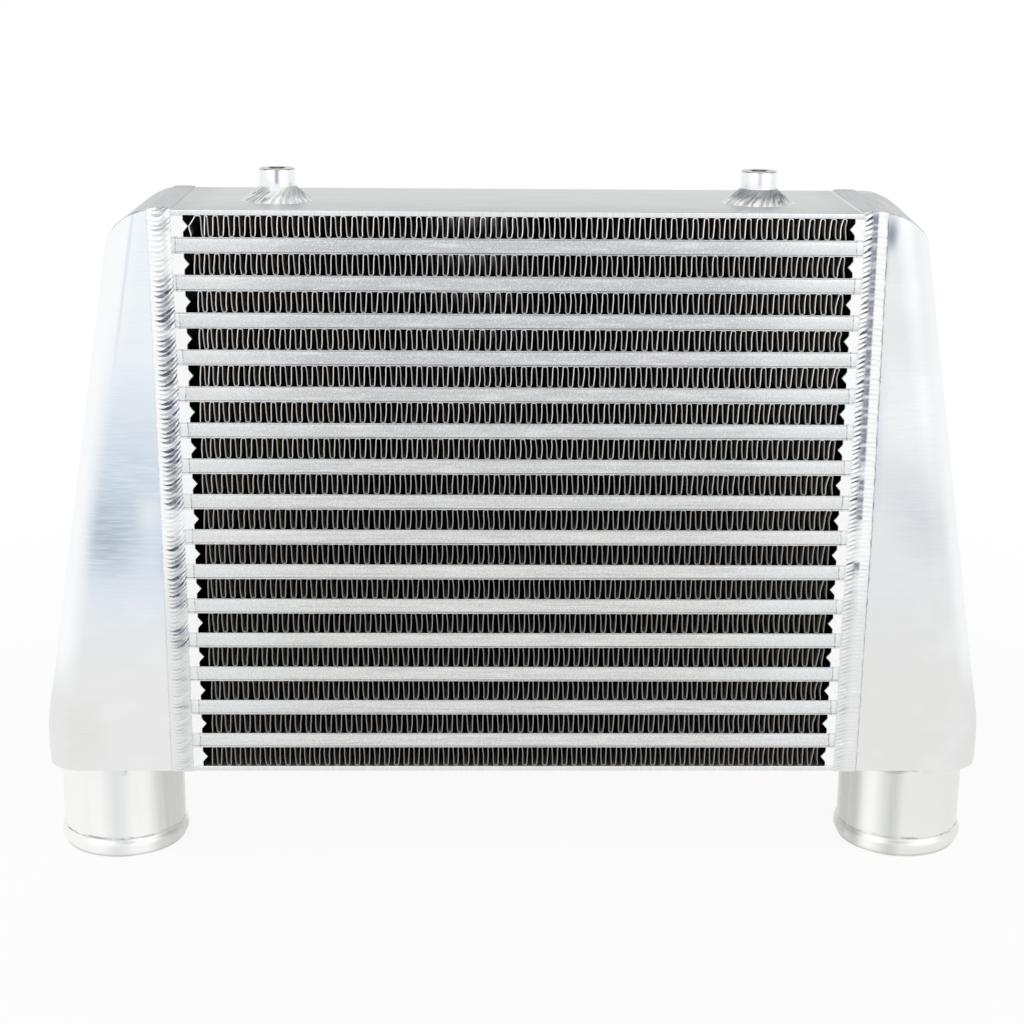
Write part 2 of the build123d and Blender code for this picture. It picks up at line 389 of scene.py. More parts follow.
fin_names = [name for name in sorted(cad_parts) if name.startswith("air_fin_")]
for hand, side in (("left", -1), ("right", 1)):
    low, high = span(f"{hand}_end_bars")
    tip = min(abs(low[0]), abs(high[0]))
    inner = tip + nose_reach
    patches = []
    for name in fin_names:
        row_low, row_high = span(name)
        outline = nosed_outline(inner, tip - nose_point, row_high[2] - row_low[2])
        bar = prism(outline, low[1], high[1], face_chamfer)
        bar[:, :, 2] += row_low[2]
        bar[:, :, 0] *= side
        patches.append((bar, "c"))
    build_piece(f"{hand}_nosed_bars", patches, dressed, [f"{hand}_end_bars"], 25.0)


# ---- Air fins ---------------------------------------------------------------
# Each air row holds one corrugated sheet with about five walls to the half inch. The
# walls lean and bow a little, and a few at the ends are bent where the bars pushed in.

fin_gauge = 0.42
wall_points = 5
bend_points = 4
bend_height = 1.15
bend_squareness = 0.72
edge_depths = [0.0, 0.4, 9.0]
fin_end_space = 0.3
least_waves = 61
rising_lean = 0.12
falling_lean = -0.16
row_bow = 0.12
# Lean, bow, S-bend and shift of the walls along a row: how much, over what length, seed.
slow_changes = ((0.1, 150, 90), (0.12, 120, 130), (0.08, 160, 170), (0.14, 34, 210))
pushed_walls = np.array([1.0, 0.7, 0.45, 0.22, 0.1])
fin_seed = 40
lean_jitter = 0.03
bow_jitter = 0.04
place_jitter = 0.06
lit_wall = 0.95
shaded_wall = 0.1
bent_wall = ([-1.0, -0.1, 1.0], [0.9, -0.2, 2.6])


def drift(along, length, seed):
    """A smooth wander from -1 to 1: three sine waves near this length, with seeded phases."""
    phases = np.random.default_rng(seed).uniform(0, 2 * math.pi, 3)
    waves = [np.sin(2 * math.pi * along / (length * part) + phase)
             for part, phase in zip((1.0, 0.61, 0.37), phases)]
    return sum(waves) / 2.2


def fin_line(row, run, height):
    """The middle line of a corrugated sheet, and the painted light at each point: lit on rising
    walls, shaded on falling ones.

    Walls rise and fall in turn. A wall is a straight lean plus a bow, and each bend is
    half a squared ellipse from the end of one wall to the start of the next.
    """
    draw = np.random.default_rng(fin_seed + row)
    walls = 2 * (least_waves + int(draw.integers(0, 2)))
    pitch = run / walls
    place = -run / 2 + (np.arange(walls) + 0.5) * pitch
    rising = np.arange(walls) % 2 == 0
    lean, bow, ess, shift = [size * drift(place, length, seed + row)
                             for size, length, seed in slow_changes]
    lean = np.where(rising, rising_lean, falling_lean) + lean
    lean = lean + draw.normal(0, lean_jitter, walls)
    bow = row_bow * np.cos(2 * math.pi * place / run) + bow + draw.normal(0, bow_jitter, walls)
    place = place + shift + draw.normal(0, place_jitter, walls)
    place[:len(pushed_walls)] += draw.uniform(0.6, 2.1) * pushed_walls
    lean[-2:] += draw.uniform(0.0, 0.6, 2)
    bow[-2:] += draw.uniform(-0.5, 0.2, 2)
    level = np.linspace(-1, 1, wall_points)
    order = np.where(rising[:, None], level, -level)
    across = place[:, None] + lean[:, None] * order + bow[:, None] * (1 - order ** 2)
    across = across + ess[:, None] * np.sin(math.pi * order)
    if row == 0:
        across[0] = -run / 2 + np.interp(level, *bent_wall)
        across[1:3] += np.array([[1.2], [0.6]])
    reach = height / 2 - fin_gauge / 2 - bend_height
    up = order * reach
    turn = np.linspace(0, math.pi, bend_points + 2)[1:-1]
    left, right = across[:-1, -1:], across[1:, :1]
    swing = np.sign(np.cos(turn)) * np.abs(np.cos(turn)) ** bend_squareness
    arch = np.sin(turn) ** bend_squareness
    bend_across = (left + right) / 2 - (right - left) / 2 * swing
    bend_up = np.where(rising[:-1, None], 1, -1) * (reach + bend_height * arch / arch.max())
    xs = np.concatenate([np.hstack([across[:-1], bend_across]).ravel(), across[-1]])
    zs = np.concatenate([np.hstack([up[:-1], bend_up]).ravel(), up[-1]])
    ends = np.array([[xs[0], -height / 2 + fin_gauge / 2], [xs[-1], -height / 2 + fin_gauge / 2]])
    lit = np.where(rising, lit_wall, shaded_wall) + draw.uniform(-0.1, 0.1, walls)
    lit = np.repeat(lit, wall_points + bend_points)
    lit = np.concatenate([lit[:1], lit[:len(xs)], lit[-1:]])
    return np.vstack([ends[:1], np.column_stack([xs, zs]), ends[1:]]), lit


brazed_fin = Finish("fin_sheet", (182, 180, 184), 0.5, 0.35)
inside = brazed_fin.maths("SUBTRACT", span(fin_names[0])[1][1], brazed_fin.off(brazed_fin.y))
# Painted light and shade on the front edges: walls marked rising are painted lit, the others
# shaded.
brazed_fin.paint((255, 255, 253), brazed_fin.mark("rising"))
brazed_fin.paint((140, 138, 140), brazed_fin.band(brazed_fin.z, 328.0, 318.0, 0.0, 0.3))
brazed_fin.paint((126, 125, 126), brazed_fin.band(brazed_fin.z, 262.0, 160.0, 0.0, 0.8))
# Painted shade inside the channels, in a brownish tone of the brazed sheet, from just behind the
# front edges.
brazed_fin.paint((146, 139, 120), brazed_fin.band(inside, 0.2, 0.6))
# The brazed brown of the upward-facing skin, painted bright as light a little way in, more so
# towards the left.
tint_patch = brazed_fin.band(brazed_fin.grain((34, 60, 12), seed=1.0), 0.35, 0.6, 0.5, 1.0)
brazed_fin.paint((255, 226, 186), tint_patch, brazed_fin.mark("hollow_up"),
                 brazed_fin.band(brazed_fin.x, 90.0, -60.0, 0.15, 1.0),
                 brazed_fin.band(inside, 3.0, 12.0))

for row, name in enumerate(fin_names):
    low, high = span(name)
    line, lit = fin_line(row, high[0] - low[0] - fin_end_space, high[2] - low[2])
    along = np.gradient(line, axis=0)
    along /= np.linalg.norm(along, axis=1, keepdims=True)
    normal = np.column_stack([-along[:, 1], along[:, 0]])
    upper = line + normal * fin_gauge / 2
    under = line - normal * fin_gauge / 2
    loop = np.vstack([upper, under[::-1]])
    depths = np.array(edge_depths + [high[1] - low[1] - depth for depth in edge_depths[::-1]])
    middle = (low[2] + high[2]) / 2
    walls = np.zeros((len(depths), len(loop), 3))
    walls[:, :, 0] = loop[:, 0]
    walls[:, :, 1] = (low[1] + depths)[:, None]
    walls[:, :, 2] = loop[:, 1] + middle
    caps = []
    for place in (low[1], high[1]):
        cap = np.zeros((2, len(line), 3))
        cap[:, :, 0] = upper[:, 0], under[:, 0]
        cap[:, :, 1] = place
        cap[:, :, 2] = upper[:, 1] + middle, under[:, 1] + middle
        caps.append((cap, ""))
    rising = np.tile(np.concatenate([lit, lit[::-1]]), len(depths))
    skyward = np.clip(1.1 + 1.6 * loop[:, 1] / (high[2] - low[2]), 0.3, 1.0)
    skyward[len(line):] = 0.0
    skyward = np.tile(skyward, len(depths))
    marks = {"rising": np.concatenate([rising, np.tile(lit, 4)]),
             "hollow_up": np.concatenate([skyward, np.zeros(4 * len(line))])}
    build_piece(f"fin_row_{name[-2:]}", [(walls, "c")] + caps, brazed_fin, [name],
                40.0, marks)


# ---- End tanks --------------------------------------------------------------
# A tank is 3 mm sheet folded to a U, with a soft knee over its upright skirt, a cap
# rolled to an arch and let in flush at sharp edges, and a flat floor for the port.

tank_wall = 3.0
tank_shoulder = 201.3
tank_shoulder_level = 245.2
tank_skirt = 22.0
tank_bend_radius = 19.0
knee_softness = 6.0
arch_centre_out = 1.0
arch_centre_down = 28.8
cap_skews = {"left": 0.0, "right": math.radians(3.9)}
port_offset = 206.8
port_hole_radius = 28.5
arris_width = 0.8
arris_fade = 6.0
front_columns = 40
bend_columns = 14
outer_columns = 44
wall_columns = 2 * (front_columns + bend_columns) + outer_columns - 2
wall_levels = 90
knee_levels = 24
knee_share = 0.16

half_span = span("right_tank")[1][0]
slope = (half_span - tank_shoulder) / (tank_shoulder_level - tank_skirt)
knee_level = core_floor + tank_skirt
arch_x = joint + arch_centre_out
arch_z = core_top - arch_centre_down
lean_angle = math.atan(slope)
wall_at_arch = half_span - (arch_z - knee_level) * slope
arch_radius = (wall_at_arch - arch_x) * math.cos(lean_angle)
arch_end_x = arch_x + arch_radius * math.cos(lean_angle)
arch_end_z = arch_z + arch_radius * math.sin(lean_angle)


def outer_wall(level, inset):
    """X of the tank's outer wall: upright over the skirt, then one slope, with a soft knee."""
    over = (level - knee_level) / knee_softness
    softened = knee_softness * (np.logaddexp(0, over) - np.log(2) * np.exp(-over ** 2 / 8))
    return half_span - inset / math.cos(lean_angle) - slope * softened


def cap_level(x, y, inset, skew):
    """Height of the cap over a point: flat by the joint, then an arc down to the slope.

    The cap is the same all along its depth, turned about the joint's front corner.
    """
    square_x = joint + (x - joint) * math.cos(skew) - (y + half_depth) * math.sin(skew)
    radius = arch_radius - inset
    out = np.clip(square_x - arch_x, 0, radius * math.cos(lean_angle))
    arc = arch_z + np.sqrt(radius ** 2 - out ** 2)
    return np.minimum(arc, core_top - inset)


def wall_path(level, inset):
    """Plan of the folded wall at a level: front wall, bend, outer wall, bend, back wall.

    Levels are rows by columns, one column for each place along the fold.
    """
    radius = tank_bend_radius - inset
    depth = half_depth - inset
    share = np.linspace(0, 1, front_columns)
    turn = np.linspace(0, math.pi / 2, bend_columns + 1)[1:]
    side = np.linspace(-1, 1, outer_columns)[1:-1]
    count = wall_columns
    outer = outer_wall(level, inset)
    x = np.empty_like(outer)
    y = np.empty_like(outer)
    x[:, :front_columns] = joint + (outer[:, :front_columns] - radius - joint) * share
    y[:, :front_columns] = -depth
    stop = front_columns + bend_columns
    x[:, front_columns:stop] = outer[:, front_columns:stop] - radius + radius * np.sin(turn)
    y[:, front_columns:stop] = -depth + radius - radius * np.cos(turn)
    x[:, stop:count - stop] = outer[:, stop:count - stop]
    y[:, stop:count - stop] = side * (depth - radius)
    back = slice(count - stop, count - front_columns)
    x[:, back] = outer[:, back] - radius + radius * np.sin(turn[::-1])
    y[:, back] = depth - radius + radius * np.cos(turn[::-1])
    back = slice(count - front_columns, count)
    x[:, back] = joint + (outer[:, back] - radius - joint) * share[::-1]
    y[:, back] = depth
    return x, y


def tank_skin(inset, skew):
    """The skin of a right tank, moved in by the inset, as wall, cap and floor patches.

    The wall's top level is found by halving, where the folded wall meets the cap. The
    cap is ruled from front edge to back edge. The floor runs out from the port's hole.
    """
    count = wall_columns
    floor = core_floor + inset
    low = np.full((1, count), arch_end_z - 12.0)
    high = np.full((1, count), core_top + 1.0)
    for _ in range(40):
        middle = (low + high) / 2
        x, y = wall_path(middle, inset)
        inside = cap_level(x, y, inset, skew) >= middle
        low = np.where(inside, middle, low)
        high = np.where(inside, high, middle)
    top = low
    share = np.concatenate([np.linspace(0, knee_share, knee_levels)[:-1],
                            np.linspace(knee_share, 1, wall_levels - knee_levels), [1.0]])
    share[-2] = 1 - arris_width / (core_top - core_floor)
    levels = floor + (top - floor) * share[:, None]
    x, y = wall_path(levels, inset)
    wall = np.stack([x, y, levels], axis=-1)
    rim = wall[-1]
    reach = front_columns + bend_columns
    across = np.linspace(0, 1, outer_columns)
    across[1] = arris_width / core_depth
    across[-2] = 1 - across[1]
    across = across[None, :, None]
    cap = rim[:reach, None, :] * (1 - across) + rim[::-1][:reach, None, :] * across
    cap[:, 1:-1, 2] = cap_level(cap[:, 1:-1, 0], cap[:, 1:-1, 1], inset, skew)
    cap[-1, :, :] = rim[reach - 1:count - reach + 1]
    seam_line = wall[0][[-1, 0]]
    ways = np.linspace(0, 1, outer_columns)[1:-1, None]
    closing = seam_line[0] * (1 - ways) + seam_line[1] * ways
    edge = np.vstack([wall[0], closing])
    centre = np.array([port_offset, 0, floor])
    toward = (edge - centre) / np.linalg.norm(edge - centre, axis=1, keepdims=True)
    hole = centre + toward * port_hole_radius
    steps = np.linspace(0, 1, 9)[:, None, None]
    base = edge * (1 - steps) + hole * steps
    return wall, cap, base


def tank_patches(side, skew):
    """Outer and inner skins, joined by the rim at the joint and the wall of the port's hole.

    With them comes a mark at each point: one on the sharp edge that the cap makes with
    the front and back, and none where the cap runs smoothly into the outer wall.
    """
    outer = tank_skin(0.0, skew)
    inner = tank_skin(tank_wall, skew)
    patches = [(outer[0], ""), (outer[1], ""), (outer[2], "c")]
    patches += [(inner[0], ""), (inner[1], ""), (inner[2], "c")]
    marks = [np.zeros(points.shape[:2]) for points, wraps in patches]
    marks[0][-1] = np.clip((arch_end_x - outer[0][-1, :, 0]) / arris_fade, 0, 1)
    marks[1][:, [0, -1]] = np.clip((arch_end_x - outer[1][:, [0, -1], 0]) / arris_fade, 0, 1)
    rims = [[skin[0][:, 0] for skin in (outer, inner)],
            [skin[0][:, -1] for skin in (outer, inner)],
            [skin[1][0] for skin in (outer, inner)],
            [np.vstack([skin[2][0, wall_columns - 1:], skin[2][0, :1]]) for skin in (outer, inner)]]
    patches += [(np.stack(rim), "") for rim in rims]
    patches.append((np.stack([outer[2][-1], inner[2][-1]]), "c"))
    marks += [np.zeros(points.shape[:2]) for points, wraps in patches[6:]]
    turned_patches = [(points * np.array([side, 1, 1]), wraps) for points, wraps in patches]
    return turned_patches, np.concatenate([values.ravel() for values in marks])


def brushed_tank(name, upper, middle, lower):
    """Brushed sheet with painted reflections, its tone running from the knee to the cap, and fine
    level brush lines.
    """
    finish = Finish(name, middle, 0.36)
    # Painted reflections: the tone changes from the knee to the cap.
    finish.paint(upper, finish.band(finish.z, 215.0, 300.0))
    finish.paint(lower, finish.band(finish.z, 165.0, 105.0))
    brush = finish.grain((38, 38, 0.3), detail=5.0)
    finish.paint((205, 211, 217), finish.band(brush, 0.42, 0.75),
                 finish.band(finish.z, 90.0, 150.0, 0.06, 0.2))
    cloud = finish.grain((26, 26, 18), detail=2.0, seed=7.0)
    finish.paint((248, 250, 251), finish.band(cloud, 0.45, 0.75, 0.0, 0.2))
    finish.gloss(brush, 0.3, 0.44)
    finish.relief(brush, 0.02)
    finish.relief(finish.grain((60, 60, 45), detail=1.0, seed=2.0), 0.3)
    return finish


def facing(finish, axis):
    """How squarely the surface faces along an axis, from -1 to 1."""
    normal = finish.add("NewGeometry").outputs["Normal"]
    return finish.add("SeparateXYZ", {0: normal}).outputs[axis]


def lay_reflections(finish, streaks, patches):
    """Lays soft reflections over a tank's sheet, broken up by its brush streaks.

    A patch is what it takes for height, its centre and its reach in X and in height,
    its strength and its shade.
    """
    for height, centre, reach, strength, shade in patches:
        finish.paint(shade, finish.near(finish.x, centre[0], reach[0]),
                     finish.near(height, centre[1], reach[1]), strength, streaks)


def finish_tank(finish, bend_start, bend_end, shine):
    """Lays a painted highlight on the bend, the ground cap and the dark arris over a tank's sheet.
    """
    # Painted highlight: the sheet goes near white where it turns to face sideways, from the bend
    # round to the outer wall, above the knee.
    bend = finish.band(finish.off(facing(finish, "X")), bend_start, bend_end)
    finish.paint((251, 253, 254), bend, finish.band(finish.z, 88.0, 120.0), shine)
    upward = facing(finish, "Z")
    cap_mask = finish.band(upward, 0.24, 0.4)
    ground = finish.grain((1.0, 30, 12), detail=4.0, seed=5.0)
    finish.paint((216, 218, 218), cap_mask)
    finish.paint((190, 192, 193), cap_mask, finish.band(ground, 0.38, 0.62, 0.0, 0.8))
    rough = finish.grain((4, 6, 3), detail=4.0, seed=19.0)
    finish.paint((184, 187, 188), cap_mask, finish.band(rough, 0.45, 0.68, 0.0, 0.5))
    finish.paint((194, 195, 195), cap_mask, finish.band(upward, 0.99, 0.9), 0.7)
    patch = finish.grain((6, 9, 6), detail=3.0, seed=12.0)
    finish.paint((84, 86, 88), finish.mark("arris"), finish.band(patch, 0.45, 0.65, 0.5, 1.0))


left_skin = brushed_tank("left_tank_sheet", (238, 243, 247), (226, 234, 242), (233, 234, 233))
streaks = left_skin.grain((13, 13, 0.8), detail=6.0, seed=21.0)
lay_reflections(left_skin, left_skin.band(streaks, 0.3, 0.62, 0.35, 1.0),
                ((left_skin.z, (-195, 200), (60, 70), 0.95, (200, 212, 225)),
                 (left_skin.z, (-201, 179), (22, 30), 0.95, (172, 184, 199)),
                 (left_skin.z, (-171, 166), (9, 15), 0.6, (184, 194, 206)),
                 (left_skin.z, (-218, 74), (16, 24), 0.5, (222, 220, 212)),
                 (left_skin.z, (-180, 190), (9, 14), 0.7, (238, 242, 247))))
# Painted shade: a darker line along the left tank's fold, over its upper part.
fold = left_skin.near(left_skin.off(facing(left_skin, "X")), 0.28, 0.08)
left_skin.paint((206, 212, 221), fold, left_skin.band(left_skin.z, 235.0, 310.0), 0.7)

right_skin = brushed_tank("right_tank_sheet", (229, 231, 233), (229, 230, 231), (228, 228, 227))
streaks = right_skin.grain((13, 13, 0.9), detail=6.0, seed=22.0)
falling = right_skin.maths("ADD", right_skin.z, right_skin.both(right_skin.x, 0.87))
lay_reflections(right_skin, right_skin.band(streaks, 0.3, 0.65, 0.5, 1.0),
                ((right_skin.z, (190, 240), (60, 44), 0.9, (241, 244, 248)),
                 (falling, (197, 362), (36, 34), 0.5, (196, 203, 214)),
                 (right_skin.z, (173, 222), (7, 60), 0.6, (190, 200, 219)),
                 (right_skin.z, (172.5, 316), (3.5, 20), 0.9, (168, 176, 190))))
# Painted reflection: a dark bluish spot beside the weld near the top of the right tank.
right_skin.paint((143, 152, 167), right_skin.near(right_skin.x, 175.5, 5.0),
                 right_skin.near(right_skin.z, 329.0, 12.0))

finish_tank(left_skin, 0.1, 0.75, 0.95)
finish_tank(right_skin, 0.35, 0.8, 0.8)
for hand, side, finish in (("left", -1, left_skin), ("right", 1, right_skin)):
    patches, arris = tank_patches(side, cap_skews[hand])
    build_piece(f"{hand}_tank_shell", patches, finish, [f"{hand}_tank"], 28.0,
                {"arris": arris})


# ---- Seam welds -------------------------------------------------------------
# A hand-laid bead joins each tank to the core all the way round. Its overlapping
# ripples stand up at the front and back, and on the top it is ground nearly flush.

seam_height = 1.9
seam_step = 0.3
ground_height = 0.16
corner_lump = 1.3
corner_lump_reach = 3.0
toe_depth = 0.4
corner_run = 3.0
bead_columns = 29
bead_limit = 2.18
foot_thinning = 0.75
foot_thinning_reach = 2.5
ground_blend = 0.25
ground_margin = 2.5
crown_squareness = 2.6
outer_ripple = 0.14
inner_ripple = 0.4
pitch_levels = [60.0, 130.0, 180.0, 336.0]


def ripple(phase):
    """Height of overlapping scallops, from 0 in the sharp valley to 1 on the hill."""
    part = (phase - np.floor(phase)) ** 0.75
    return (4 * part * (1 - part)) ** 0.6


def seam_path():
    """Points and outward ways round the core's section, front bottom corner first.

    Each side is straight. At each corner the point stays and the way turns a quarter.
    """
    corners = np.array([[-half_depth, core_floor], [-half_depth, core_top],
                        [half_depth, core_top], [half_depth, core_floor]])
    starts = [math.pi, math.pi / 2, 0.0, -math.pi / 2]
    points, turns = [], []
    for number, angle in enumerate(starts):
        start, end = corners[number], corners[(number + 1) % 4]
        count = int(np.linalg.norm(end - start) / seam_step)
        share = np.arange(count)[:, None] / count
        points.append(start + (end - start) * share)
        turns.append(np.full(count, angle))
        bend = int(corner_run / seam_step)
        points.append(np.tile(end, (bend, 1)))
        turns.append(angle - math.pi / 2 * np.arange(bend) / bend)
    return np.vstack(points), np.concatenate(turns)


def seam_patch(side, line, half_width, pitches, shape, cover, outer_part, shade_by_level, toe_shade, seed):
    """The bead as one closed band, with how dark and how ground it is at each point.

    The height falls from the crown to both toes with a power of the way across. The
    ripples add scallops along the path, put forward or back by a shape across it. The
    dark is painted shade and reflection in the ripples: the cover says how much of each
    ripple is dark and how dark a wash lies over them all, and a table by level says how
    strong both are there. On the outer side the ripples are dark in part.
    A disc has cut the band level above and below the core, but for a lump at the corners.
    """
    base, turns = seam_path()
    count = len(base)
    along = np.arange(count) * seam_step
    level = base[:, 1]
    pitch = np.interp(level, pitch_levels, pitches)
    passed = np.cumsum(seam_step / pitch)
    passed *= round(passed[-1]) / passed[-1]
    across = np.linspace(-1, 1, bead_columns)
    inner = -side * across
    wobble = 0.4 * drift(along, 21, seed)
    phase = passed[:, None] + (wobble[:, None] - shape(inner)) / pitch[:, None]
    hills = ripple(phase)
    crown = 1 - np.abs(across) ** crown_squareness
    depth = outer_ripple + (inner_ripple - outer_ripple) * np.clip((inner + 0.6) / 0.8, 0, 1)
    depth = depth * (1 + 0.35 * drift(along, 26, seed + 5))[:, None]
    height = seam_height * crown + depth * (hills - 0.6) * crown ** 0.4
    height = height * (1 + 0.05 * drift(along, 40, seed + 1))[:, None]
    height = np.clip(height, 0, bead_limit)
    from_foot = (level[:, None] - core_floor) / foot_thinning_reach
    height = height * (1 - foot_thinning * np.exp(-from_foot ** 2))
    height[:, [0, -1]] = -toe_depth
    scallop = 0.2 + 0.12 * np.clip(inner, 0, 1)
    width = np.interp(level, pitch_levels, half_width)[:, None] - scallop * (1 - hills)
    width = width + (0.14 * drift(along, 13, seed + 2) + 0.1 * drift(along, 4.3, seed + 3))[:, None]
    points = np.zeros((count, len(across), 3))
    middle = joint + np.interp(level, pitch_levels, line)
    points[:, :, 0] = side * middle[:, None] + across * width
    points[:, :, 1] = base[:, :1] + np.cos(turns)[:, None] * height
    laid = base[:, 1:] + np.sin(turns)[:, None] * height
    from_corner = half_depth - np.abs(base[:, :1])
    lump = corner_lump * np.exp(-(from_corner / corner_lump_reach) ** 2)
    lump = lump * np.where(base[:, :1] < 0, 0.75 + 0.35 * drift(across * 6.0, 5.0, seed + 8), 0.3)
    points[:, :, 2] = np.clip(laid, core_floor - ground_height, core_top + ground_height + lump)
    ground = np.clip(np.abs(laid - points[:, :, 2]) / ground_blend, 0, 1)
    inward = np.abs(points[:, :, 1]) < half_depth - ground_margin
    ground = np.where(inward & (points[:, :, 2] > core_top - 1), 1.0, ground)
    number = np.floor(phase)
    share, wash = cover(inner)
    share = share * (1 + 0.2 * drift(number, 2.7, seed + 7))
    off_hill = 2 * np.abs(phase - number - 0.5)
    dark = np.clip((share - off_hill) / 0.24 + 0.5, 0, 1) * np.clip(share / 0.12, 0, 1)
    dark = dark * np.clip(0.9 + 0.4 * drift(number, 2.3, seed + 9), 0.45, 1.1)
    strength = np.interp(level, *shade_by_level) * (1 + 0.25 * drift(along, 8, seed + 4))
    strength = np.clip(strength, 0, 1)[:, None]
    dark = np.maximum(dark * np.interp(inner, [0.0, 0.5], [outer_part, 1.0]), wash * strength ** 2)
    toe = np.clip((-inner - 0.82) / 0.1, 0, 1) * np.interp(level, [120, 150], toe_shade)[:, None]
    toe = toe * (0.75 + 0.4 * drift(along, 17, seed + 6))[:, None]
    return points, np.maximum(dark * strength, toe), ground


bead_metal = Finish("weld_bead", (249, 251, 252), 0.24)
bead_metal.paint((231, 232, 231), bead_metal.band(bead_metal.z, 185.0, 125.0))
# Painted shade and reflection in the ripple valleys: bluish, speckled, and darkest where marked
# deepest.
valley = bead_metal.mark("valley")
speckle = bead_metal.grain((0.9, 0.9, 0.5), detail=2.0, seed=14.0)
bead_metal.paint((92, 99, 113), valley, bead_metal.band(speckle, 0.3, 0.5, 0.75, 1.1))
bead_metal.paint((56, 61, 73), bead_metal.band(valley, 0.84, 1.0, 0.0, 0.5))
frost = bead_metal.grain((1.2, 1.2, 1.2), detail=3.0, seed=9.0)
bead_metal.paint((216, 220, 225), bead_metal.band(frost, 0.45, 0.8, 0.0, 0.3))
cut = bead_metal.mark("ground")
bead_metal.paint((208, 210, 211), cut)
cut_lines = bead_metal.grain((1.0, 26, 10), detail=4.0, seed=5.0)
bead_metal.paint((186, 188, 190), cut, bead_metal.band(cut_lines, 0.4, 0.65, 0.0, 0.6))
bead_metal.gloss(bead_metal.maths("MAXIMUM", frost, cut), 0.22, 0.4)
bead_metal.relief(frost, 0.03)


def left_swing(inner):
    """How far a ripple of the left bead runs ahead, in millimetres: a dish, higher by the core."""
    return 3.4 * (inner + 0.25) ** 2


def left_cover(inner):
    """The dark share of a ripple on the left bead, a bell by the core, and its wash."""
    share = 0.95 * np.exp(-0.5 * ((inner - 0.33) / 0.46) ** 2) * np.clip((inner + 0.8) / 0.4, 0, 1)
    return share, 0.42 * np.exp(-0.5 * ((inner - 0.33) / 0.3) ** 2)


def right_swing(inner):
    """The same for the right bead: an arch, lower by the core."""
    return -np.where(inner > -0.25, 2.1, 3.6) * (inner + 0.25) ** 2


def right_cover(inner):
    """The same for the right bead: flames by the core, a washed band, and arcs outside."""
    share = np.interp(inner, [-0.95, -0.8, -0.1, 0.0, 0.4, 0.85, 0.97],
                      [0.0, 0.35, 0.4, 0.55, 0.72, 0.3, 0.0])
    return share, np.interp(inner, [-0.12, -0.02, 0.3, 0.55], [0.0, 0.8, 0.76, 0.0])


# How strong the painted valley shade is at each level, for each bead.
left_shade_by_level = ([54, 88, 90, 92, 102, 105, 108, 120, 123, 131, 134, 141, 144, 176, 180,
                 192, 195, 246, 250, 255, 278, 281, 284, 293, 299, 308, 312, 326, 330],
                [0.22, 0.25, 0.5, 0.25, 0.25, 0.5, 0.25, 0.3, 0.75, 0.75, 0.3, 0.3, 0.8, 0.8, 0.25,
                 0.3, 0.9, 0.9, 0.5, 0.95, 0.9, 0.3, 0.95, 0.95, 0.85, 0.5, 0.2, 0.2, 0.45])
right_shade_by_level = ([54, 88, 90, 92, 134, 140, 160, 163, 166,
                  169, 173, 186, 190, 209, 212, 215, 218, 336],
                 [0.2, 0.25, 0.5, 0.25, 0.3, 0.5, 0.45, 1.0, 1.0,
                  0.15, 0.35, 0.6, 0.95, 0.95, 0.6, 0.6, 1.0, 1.0])
beads = (("left", -1, (-0.3, -0.3, -0.3, 0.5), (6.0, 6.0, 6.0, 6.0), (1.7, 1.9, 2.35, 2.4),
          left_swing, left_cover, 1.0, left_shade_by_level, (0.1, 0.1), 300),
         ("right", 1, (-0.5, -0.3, 0.0, -0.7), (6.2, 6.4, 6.5, 6.0), (1.9, 2.1, 2.3, 2.5),
          right_swing, right_cover, 0.22, right_shade_by_level, (0.45, 0.85), 320))
for hand, side, *make in beads:
    bead, dark, ground = seam_patch(side, *make)
    build_piece(f"{hand}_seam_bead", [(bead, "rc")], bead_metal, [f"{hand}_seam_weld"],
                70.0, {"valley": dark, "ground": ground})


# ---- Hose ports -------------------------------------------------------------
# A port is a length of thin pipe set into the tank's floor, with a bead rolled near
# its free end to hold the hose. It is spun bright and handled, so it has faint smudges;
# its reflections and the shade in its bore and under the tank's floor are painted.

port_radius = 31.75
port_bore_radius = 29.75
bead_radius = 33.4
roll_radius = 3.4
roll_level = 5.9
roll_half_height = 4.3
roll_end = 10.6
pipe_segments = 144


def turned(profile, x, y, segments):
    """A closed profile of radius and level carried once round an upright axis."""
    angle = np.arange(segments) * 2 * math.pi / segments
    points = np.zeros((segments, len(profile), 3))
    points[:, :, 0] = x + np.cos(angle)[:, None] * profile[:, 0]
    points[:, :, 1] = y + np.sin(angle)[:, None] * profile[:, 0]
    points[:, :, 2] = profile[:, 1]
    return points, "rc"


def port_profile(top):
    """Radius and level round the pipe's wall: lip, rolled bead, plain pipe and bore."""
    turn = np.radians(np.linspace(-78, 90, 15))
    belly = np.column_stack([bead_radius - roll_radius + roll_radius * np.cos(turn),
                             roll_level + roll_half_height * np.sin(turn)])
    belly = belly[belly[:, 0] > port_radius - 0.02]
    lip = [[port_bore_radius, 0.35], [port_bore_radius + 0.3, 0.0], [30.9, 0.05], [31.5, 0.7]]
    pipe = [[port_radius, level] for level in (roll_end, 24.0, 40.0, top)]
    bore = [[port_bore_radius, level] for level in (top, 30.0, 12.0)]
    return np.vstack([lip, belly, pipe, bore])


spun = Finish("spun_pipe", (248, 248, 247), 0.36)
across_pipe = spun.maths("SUBTRACT", port_offset, spun.off(spun.x))
in_front = spun.band(spun.y, 6.0, -6.0)
pull = spun.grain((5.0, 5.0, 90), detail=3.0, seed=17.0)
on_right = spun.maths("GREATER_THAN", spun.x, 0.0)
front_left = spun.both(in_front, spun.maths("SUBTRACT", 1.0, on_right))
front_right = spun.both(in_front, on_right)
